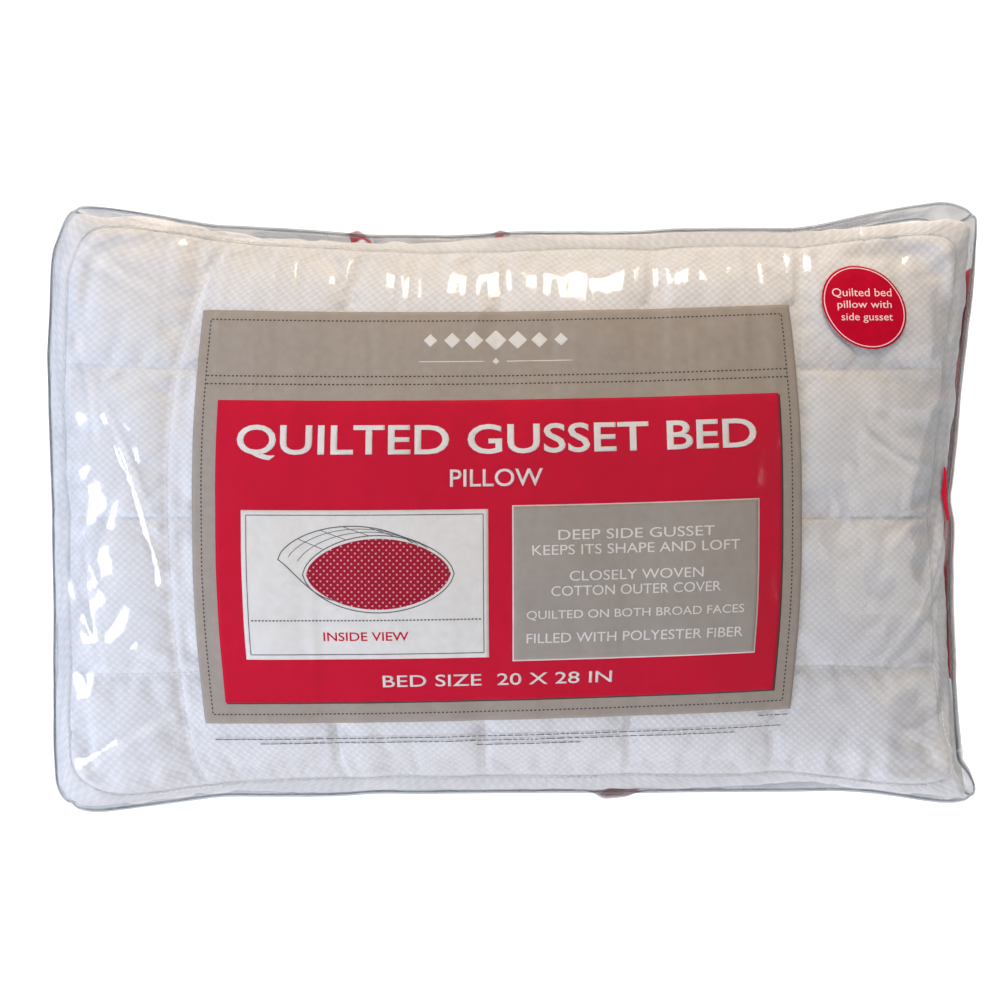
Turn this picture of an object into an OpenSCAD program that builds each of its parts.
// Quilted, gusseted bed pillow sealed in its clear film bag, lying on its back.
// Frame: +X along the length, +Y along the width, +Z up through the crown.
// The origin is the centre of the flat patch that the packed pillow rests on.

/* [Packed size] */
// Length across the middle of the short sides
pack_length = 690; // [660:2:730]
// Width across the middle of the long sides
pack_width = 426; // [400:2:460]
// How much further than the short sides the corners reach
corner_reach_x = 9; // [2:1:16]
// How much further than the long sides the corners reach
corner_reach_y = 19; // [4:1:24]
// Rise of the front above its welded edge
front_crown = 60; // [45:1:75]
// Depth of the back below its welded edge
back_crown = 56; // [40:1:60]

/* [Pillow cover] */
// Width of the gusset strip between its two seams
gusset_width = 63.5; // [56:0.5:76]
// Thickness of the dobby cotton
cover_thickness = 1.2; // [0.8:0.1:1.6]
// Thickness of the quilt batting
batting_thickness = 6; // [3:0.5:8]
// Thickness of the backing behind the batting
backing_thickness = 0.6; // [0.4:0.1:0.8]
// Width of the welted edge, from its stitching outward
welt_width = 11.6; // [9:0.2:12]
// Height of the welted edge
welt_height = 6; // [4:0.5:7]
// Side of one quilted square
quilt_pitch = 120; // [100:2:124]
// Where the middle quilting line lies along the length
quilt_centre_x = -22; // [-30:1:30]
// Where the middle quilting line lies across the width
quilt_centre_y = -8; // [-12:1:12]

/* [Film bag] */
// Thickness of the film
film_thickness = 0.4; // [0.3:0.1:0.6]
// How far the weld stands out around each panel
weld_width = 3.5; // [2:0.5:5]
// Height of the printed band on each printed wall
wall_band_height = 34; // [20:1:40]

/* [Printed panel] */
// Length of the panel
label_length = 440; // [400:2:460]
// Height of the panel
label_height = 306; // [270:2:316]
// Where the middle of the panel lies along the length
label_centre_x = -11; // [-14:1:14]
// Where the middle of the panel lies across the width
label_centre_y = -4; // [-5:1:5]
// Diameter of the round sticker
sticker_diameter = 62; // [50:1:66]

/* [Hidden] */

half_x = pack_length / 2;
half_y = pack_width / 2;
back_edge_z = back_crown;
front_edge_z = back_crown + gusset_width;

// The crown is steep at the edge and round in the middle
crown_power = 0.6;
// The back goes flat where its curve would pass this share of its depth
flat_share = 0.8;

// Depths are measured inward from the outer face of the film
cover_depth = 1.6;
ply_gap = 0.3;
batting_depth = cover_depth + cover_thickness + ply_gap;
backing_depth = batting_depth + batting_thickness + ply_gap;
fill_depth = backing_depth + backing_thickness + ply_gap;

// Insets are measured inward from the outline of the bag
welt_inset = 2;
seam_inset = welt_inset + welt_width + 0.4;
gusset_thickness = 1.2;
inner_inset = seam_inset + gusset_thickness + 1.8;
seam_drop = 2.2;

// Heights above the film of each printed layer, thickest stack last
ink = 0.2;
ink_step = 0.3;

// Lines of the grid, as shares of each half side, closer towards the edge
edge_lines = [0.72, 0.84, 0.92, 0.97, 0.99, 1];
coarse_lines = [-1, -0.97, -0.9, -0.78, -0.6, -0.4, -0.2];
coarse = concat(coarse_lines, [0], mirrored(coarse_lines));

function mirrored(list) = [for (i = [len(list) - 1:-1:0]) -list[i]];
function share_x(x) = x / half_x;
function share_y(y) = y / half_y;

// Printed rectangles: low x, high x, low y, high y
label_box = [
    label_centre_x - label_length / 2, label_centre_x + label_length / 2,
    label_centre_y - label_height / 2, label_centre_y + label_height / 2
];
red_box = [label_box[0] + 12, label_box[1] - 11, label_box[2] + 18, label_box[3] - 67];
picture_box = [red_box[0] + 17, label_centre_x - 6, red_box[2] + 28, red_box[3] - 81];
text_box = [label_centre_x + 12, red_box[1] - 16, red_box[2] + 30, red_box[3] - 79];

// The front film's grid passes through every printed edge, so layers stay parallel
front_us = concat(
    mirrored(edge_lines),
    [for (x = [label_box[0], red_box[0], picture_box[0], -140, -75, picture_box[1],
               text_box[0], 65, 125, text_box[1], red_box[1], label_box[1]]) share_x(x)],
    edge_lines
);
front_vs = concat(
    [-1, -0.985, -0.95, -0.88, -0.8],
    [for (y = [label_box[2], red_box[2], picture_box[2], text_box[2] + 12, -50,
               text_box[3] - 12, picture_box[3], text_box[3], 42, red_box[3], 115, label_box[3]])
        share_y(y)],
    [0.8, 0.88, 0.95, 0.985, 1]
);

// A place on the plan: the sides pull in between the corners
function plan(u, v, inset = 0) = [
    u * (half_x - inset + corner_reach_x * pow(v, 4)),
    v * (half_y - inset + corner_reach_y * pow(u, 4))
];
function crown(u, v) = pow(max(0, (1 - u * u) * (1 - v * v)), crown_power);
function front_z(u, v) = front_edge_z + front_crown * crown(u, v);
function back_z(u, v) = back_edge_z - back_crown * min(1, crown(u, v) / flat_share);

// Lines of a list that lie within two limits
function within(list, low, high) = [for (t = list) if (t > low - 1e-6 && t < high + 1e-6) t];

// Closed sheet over a grid of shares, between two heights
module sheet(us, vs, inset, low_z, high_z) {
    nu = len(us);
    nv = len(vs);
    count = nu * nv;
    points = concat(
        [for (u = us) for (v = vs) concat(plan(u, v, inset), low_z(u, v))],
        [for (u = us) for (v = vs) concat(plan(u, v, inset), high_z(u, v))]
    );
    function low(i, j) = i * nv + j;
    function high(i, j) = count + i * nv + j;
    faces = concat(
        [for (i = [0:nu - 2]) for (j = [0:nv - 2]) [high(i, j), high(i, j + 1), high(i + 1, j + 1)]],
        [for (i = [0:nu - 2]) for (j = [0:nv - 2]) [high(i, j), high(i + 1, j + 1), high(i + 1, j)]],
        [for (i = [0:nu - 2]) for (j = [0:nv - 2]) [low(i, j), low(i + 1, j + 1), low(i, j + 1)]],
        [for (i = [0:nu - 2]) for (j = [0:nv - 2]) [low(i, j), low(i + 1, j), low(i + 1, j + 1)]],
        [for (i = [0:nu - 2]) [low(i, 0), high(i, 0), high(i + 1, 0), low(i + 1, 0)]],
        [for (i = [0:nu - 2])
            [low(i + 1, nv - 1), high(i + 1, nv - 1), high(i, nv - 1), low(i, nv - 1)]],
        [for (j = [0:nv - 2]) [low(0, j + 1), high(0, j + 1), high(0, j), low(0, j)]],
        [for (j = [0:nv - 2])
            [low(nu - 1, j), high(nu - 1, j), high(nu - 1, j + 1), low(nu - 1, j + 1)]]
    );
    polyhedron(points, faces);
}

// Ply of the front or the back at a depth under the film
module front_ply(us, vs, inset, depth, thickness) {
    sheet(us, vs, inset,
        function(u, v) front_z(u, v) - depth - thickness,
        function(u, v) front_z(u, v) - depth);
}
module back_ply(us, vs, inset, depth, thickness) {
    sheet(us, vs, inset,
        function(u, v) back_z(u, v) + depth,
        function(u, v) back_z(u, v) + depth + thickness);
}

// Ink on the front film: a rectangle of the film's own grid, on a numbered layer
module front_ink(box, layer) {
    us = concat([share_x(box[0])],
        within(front_us, share_x(box[0]) + 1e-4, share_x(box[1]) - 1e-4), [share_x(box[1])]);
    vs = concat([share_y(box[2])],
        within(front_vs, share_y(box[2]) + 1e-4, share_y(box[3]) - 1e-4), [share_y(box[3])]);
    front_ply(us, vs, 0, -ink_step * layer, ink);
}

// Points around the plan at an inset, corner to corner along each side
side_steps = [-1, -0.97, -0.9, -0.75, -0.5, -0.25, 0, 0.25, 0.5, 0.75, 0.9, 0.97];
function outline(inset) = concat(
    [for (t = side_steps) plan(t, -1, inset)],
    [for (t = side_steps) plan(1, t, inset)],
    [for (t = side_steps) plan(-t, 1, inset)],
    [for (t = side_steps) plan(-1, -t, inset)]
);

// Upright band that follows the whole outline
module ring(outer_inset, inner_inset, low, high) {
    translate([0, 0, low])
        linear_extrude(high - low)
            difference() {
                polygon(outline(outer_inset));
                polygon(outline(inner_inset));
            }
}

// Place on one side: 0 low y, 1 high x, 2 high y, 3 low x
function side_place(side, t, inset) =
    side == 0 ? plan(t, -1, inset)
    : side == 1 ? plan(1, t, inset)
    : side == 2 ? plan(-t, 1, inset)
    : plan(-1, -t, inset);

// Upright band along part of one side
module side_band(side, from, to, outer_inset, inner_inset, low, high) {
    ts = concat([from], within(side_steps, from + 0.01, to - 0.01), [to]);
    translate([0, 0, low])
        linear_extrude(high - low)
            polygon(concat(
                [for (t = ts) side_place(side, t, outer_inset)],
                [for (i = [len(ts) - 1:-1:0]) side_place(side, ts[i], inner_inset)]
            ));
}

// Rounded welt that follows the outline at one height
module welt(z) {
    sides = 8;
    middle = welt_inset + welt_width / 2;
    path = [for (section = [0:sides - 1]) outline(
        middle - welt_width / 2 * cos(section * 360 / sides))];
    steps = len(path[0]);
    points = [for (step = [0:steps - 1]) for (section = [0:sides - 1])
        concat(path[section][step], z + welt_height / 2 * sin(section * 360 / sides))];
    function at(step, section) = (step % steps) * sides + section % sides;
    faces = concat(
        [for (step = [0:steps - 1]) for (section = [0:sides - 1])
            [at(step, section), at(step, section + 1), at(step + 1, section + 1)]],
        [for (step = [0:steps - 1]) for (section = [0:sides - 1])
            [at(step, section), at(step + 1, section + 1), at(step + 1, section)]]
    );
    polyhedron(points, faces);
}

// Lines of quilting along both ways, the lengthwise lines lying over the others
thread_width = 1.4;
thread_height = 0.5;
quilt_us = [for (i = [-2:2]) share_x(quilt_centre_x + i * quilt_pitch)];
quilt_vs = [for (i = [-1:1]) share_y(quilt_centre_y + i * quilt_pitch)];
module quilting(is_front) {
    thread_u = thread_width / half_x / 2;
    thread_v = thread_width / half_y / 2;
    for (u = quilt_us)
        thread_ply(is_front, [u - thread_u, u + thread_u], coarse, 0.2);
    for (v = quilt_vs)
        thread_ply(is_front, coarse, [v - thread_v, v + thread_v], 0.8);
}
module thread_ply(is_front, us, vs, lift) {
    raised = cover_depth - lift - thread_height;
    if (is_front)
        front_ply(us, vs, seam_inset, raised, thread_height);
    else
        back_ply(us, vs, seam_inset, raised, thread_height);
}

// ---- Pillow ----

module fibre_fill() {
    color("snow")
        sheet(coarse, coarse, inner_inset,
            function(u, v) back_z(u, v) + fill_depth,
            function(u, v) front_z(u, v) - fill_depth);
}

module top_backing() {
    color("gainsboro") front_ply(coarse, coarse, inner_inset, backing_depth, backing_thickness);
}

module top_batting() {
    color("ghostwhite") front_ply(coarse, coarse, inner_inset, batting_depth, batting_thickness);
}

module top_cover() {
    color("white") front_ply(coarse, coarse, seam_inset, cover_depth, cover_thickness);
}

module bottom_backing() {
    color("gainsboro") back_ply(coarse, coarse, inner_inset, backing_depth, backing_thickness);
}

module bottom_batting() {
    color("ghostwhite") back_ply(coarse, coarse, inner_inset, batting_depth, batting_thickness);
}

module bottom_cover() {
    color("white") back_ply(coarse, coarse, seam_inset, cover_depth, cover_thickness);
}

module gusset_strip() {
    color("whitesmoke")
        ring(seam_inset, seam_inset + gusset_thickness,
            back_edge_z + cover_depth + cover_thickness + ply_gap,
            front_edge_z - cover_depth - cover_thickness - ply_gap);
}

module top_edge_welt() {
    color("white") welt(front_edge_z - seam_drop);
}

module bottom_edge_welt() {
    color("white") welt(back_edge_z + seam_drop);
}

module top_quilt_stitching() {
    color("lightgrey") quilting(true);
}

module bottom_quilt_stitching() {
    color("lightgrey") quilting(false);
}

module top_seam_thread() {
    color("lightgrey")
        ring(seam_inset - 1.6, seam_inset - 0.6,
            front_edge_z - seam_drop + welt_height / 2 + 0.2,
            front_edge_z - seam_drop + welt_height / 2 + 0.8);
}

module bottom_seam_thread() {
    color("lightgrey")
        ring(seam_inset - 1.6, seam_inset - 0.6,
            back_edge_z + seam_drop - welt_height / 2 - 0.8,
            back_edge_z + seam_drop - welt_height / 2 - 0.2);
}

// Short stitches that close the gusset once the fill is in
module gusset_closing_stitches() {
    stitch_length = 6;
    stitch_pitch = 9;
    stitch_count = 17;
    middle_z = (front_edge_z + back_edge_z) / 2;
    color("lightgrey")
        for (i = [0:stitch_count - 1])
            translate([
                (i - (stitch_count - 1) / 2) * stitch_pitch - stitch_length / 2,
                half_y - seam_inset + 0.4,
                middle_z - 0.5
            ])
                cube([stitch_length, 0.6, 1]);
}

// Blank woven label sewn into the lower gusset seam of one short side
module care_label() {
    label_drop = 34;
    color("white")
        translate([
            -half_x + seam_inset - 6,
            -30,
            back_edge_z + seam_drop + welt_height / 2 + 0.6
        ])
            cube([0.6, 60, label_drop]);
}

// ---- Film bag ----

module bag_front_film() {
    color("aliceblue", 0.4) front_ply(front_us, front_vs, 0, 0, film_thickness);
}

module bag_back_film() {
    color("aliceblue", 0.4) back_ply(coarse, coarse, 0, 0, film_thickness);
}

// Upright film along one side, clear of both welds and both corners
module bag_wall(side) {
    corner_gap = 0.99;
    color("aliceblue", 0.4)
        side_band(side, -corner_gap, corner_gap, 0, film_thickness,
            back_edge_z + film_thickness + ply_gap,
            front_edge_z - film_thickness - ply_gap);
}
module bag_wall_top() bag_wall(2);
module bag_wall_bottom() bag_wall(0);
module bag_wall_left() bag_wall(3);
module bag_wall_right() bag_wall(1);

module bag_front_weld() {
    color("lightsteelblue", 0.6)
        ring(-ply_gap - weld_width, -ply_gap, front_edge_z - 1.2, front_edge_z);
}

module bag_back_weld() {
    color("lightsteelblue", 0.6)
        ring(-ply_gap - weld_width, -ply_gap, back_edge_z, back_edge_z + 1.2);
}

// Upright welds that join the walls at the corners
module bag_corner_welds() {
    low = back_edge_z + 1.2 + ply_gap;
    high = front_edge_z - 1.2 - ply_gap;
    reach = 0.993;
    color("lightsteelblue", 0.6)
        for (side_x = [-1, 1]) for (side_y = [-1, 1])
            translate([0, 0, low])
                linear_extrude(high - low)
                    polygon([
                        plan(side_x * reach, side_y, 0.1),
                        plan(side_x, side_y, -1.4),
                        plan(side_x, side_y * reach, 0.1),
                        plan(side_x, side_y, 1.4)
                    ]);
}

// Printed bands on the three printed walls
module wall_print_bands() {
    middle_z = (front_edge_z + back_edge_z) / 2;
    low = middle_z - wall_band_height / 2;
    high = middle_z + wall_band_height / 2;
    color("firebrick") {
        side_band(0, -0.47, 0.47, -0.4, -0.2, low, high);
        side_band(1, -0.75, 0.75, -0.4, -0.2, low, high);
        side_band(2, -0.47, 0.47, -0.4, -0.2, low, high);
    }
}

// ---- Printed panel ----

module label_ground() {
    color("rosybrown") front_ink(label_box, 1);
}

// Dashed line printed inside the edge of the panel, and the pair under its heading
module label_stitch_border() {
    margin = 7;
    line = 0.8;
    left = label_box[0] + margin;
    right = label_box[1] - margin;
    low = label_box[2] + margin;
    high = label_box[3] - margin;
    heading = red_box[3] + 14;
    color("dimgrey") {
        for (y = [low, heading, heading + 6, high])
            front_ink([left + 2, right - 2, y, y + line], 2.4);
        for (x = [left, right - line])
            front_ink([x, x + line, low, high], 2.4);
    }
}

module label_red_field() {
    color("crimson") front_ink(red_box, 2);
}

module label_picture_panel() {
    color("white") front_ink(picture_box, 3);
}

module label_text_panel() {
    color("darkgrey") front_ink(text_box, 3);
}

// Cut-away pillow, as a lens of fill inside a cover
module label_pillow_picture() {
    centre_x = (picture_box[0] + picture_box[1]) / 2;
    centre_y = (picture_box[2] + picture_box[3]) / 2 + 9;
    color("crimson") printed_ellipse(centre_x + 2, centre_y, 52, 24, 5);
    color("dimgrey") {
        front_ink([centre_x - 60, centre_x + 60, centre_y + 30, centre_y + 31], 5);
        front_ink([picture_box[0] + 5, picture_box[1] - 5, picture_box[2] + 26, picture_box[2] + 27], 5);
    }
}

// Rows of lettering: heading, second line, two columns and the bottom line
module label_lettering() {
    heading_y = red_box[3] - 46;
    column_pitch = 15;
    color("white") {
        front_ink([red_box[0] + 18, red_box[1] - 14, heading_y, heading_y + 22], 4);
        front_ink([label_centre_x - 33, label_centre_x + 33, heading_y - 20, heading_y - 9], 4);
        front_ink([label_centre_x - 85, label_centre_x + 85, red_box[2] + 11, red_box[2] + 19], 4);
        for (row = [0:5])
            front_ink([text_box[0] + 20, text_box[1] - 20,
                text_box[3] - 18 - row * column_pitch, text_box[3] - 12 - row * column_pitch], 5);
    }
}

// Two rows of small print under the panel
module label_fine_print() {
    color("grey")
        for (row = [0:1])
            front_ink([label_box[0] + 6 + row * 30, label_box[1] - 4 - row * 30,
                label_box[2] - 21 - row * 4, label_box[2] - 19.5 - row * 4], 2);
}

// Disc that follows the crown of the film
module printed_ellipse(x, y, radius_x, radius_y, layer) {
    steps = 24;
    rings = 3;
    lift = ink_step * layer;
    function place(r, i, z) = let(
        px = x + radius_x * r / rings * cos(i * 360 / steps),
        py = y + radius_y * r / rings * sin(i * 360 / steps)
    ) [px, py, front_z(share_x(px), share_y(py)) + lift + z];
    count = 1 + rings * steps;
    points = concat(
        [place(0, 0, ink)], [for (r = [1:rings]) for (i = [0:steps - 1]) place(r, i, ink)],
        [place(0, 0, 0)], [for (r = [1:rings]) for (i = [0:steps - 1]) place(r, i, 0)]
    );
    function at(r, i) = 1 + (r - 1) * steps + i % steps;
    faces = concat(
        [for (i = [0:steps - 1]) [0, at(1, i + 1), at(1, i)]],
        [for (r = [1:rings - 1]) for (i = [0:steps - 1]) [at(r, i), at(r, i + 1), at(r + 1, i + 1)]],
        [for (r = [1:rings - 1]) for (i = [0:steps - 1]) [at(r, i), at(r + 1, i + 1), at(r + 1, i)]],
        [for (i = [0:steps - 1]) [count, count + at(1, i), count + at(1, i + 1)]],
        [for (r = [1:rings - 1]) for (i = [0:steps - 1])
            [count + at(r, i), count + at(r + 1, i + 1), count + at(r, i + 1)]],
        [for (r = [1:rings - 1]) for (i = [0:steps - 1])
            [count + at(r, i), count + at(r + 1, i), count + at(r + 1, i + 1)]],
        [for (i = [0:steps - 1]) [at(rings, i), at(rings, i + 1), count + at(rings, i + 1)]],
        [for (i = [0:steps - 1]) [at(rings, i), count + at(rings, i + 1), count + at(rings, i)]]
    );
    polyhedron(points, faces);
}

sticker_x = 263;
sticker_y = 150;

module round_sticker() {
    color("crimson")
        printed_ellipse(sticker_x, sticker_y, sticker_diameter / 2, sticker_diameter / 2, 4);
}

// Thin pale ring and three rows of lettering on the sticker
module sticker_print() {
    row_lengths = [48, 48, 42];
    color("mistyrose")
        for (row = [0:2])
            printed_ellipse(sticker_x, sticker_y + 9 - row * 9, row_lengths[row] / 2, 2.2, 6);
}

fibre_fill();
top_backing();
top_batting();
top_cover();
bottom_backing();
bottom_batting();
bottom_cover();
gusset_strip();
top_edge_welt();
bottom_edge_welt();
top_quilt_stitching();
bottom_quilt_stitching();
top_seam_thread();
bottom_seam_thread();
gusset_closing_stitches();
care_label();
bag_front_film();
bag_back_film();
bag_wall_top();
bag_wall_bottom();
bag_wall_left();
bag_wall_right();
bag_front_weld();
bag_back_weld();
bag_corner_welds();
wall_print_bands();
label_ground();
label_stitch_border();
label_red_field();
label_picture_panel();
label_pillow_picture();
label_text_panel();
label_lettering();
label_fine_print();
round_sticker();
sticker_print();
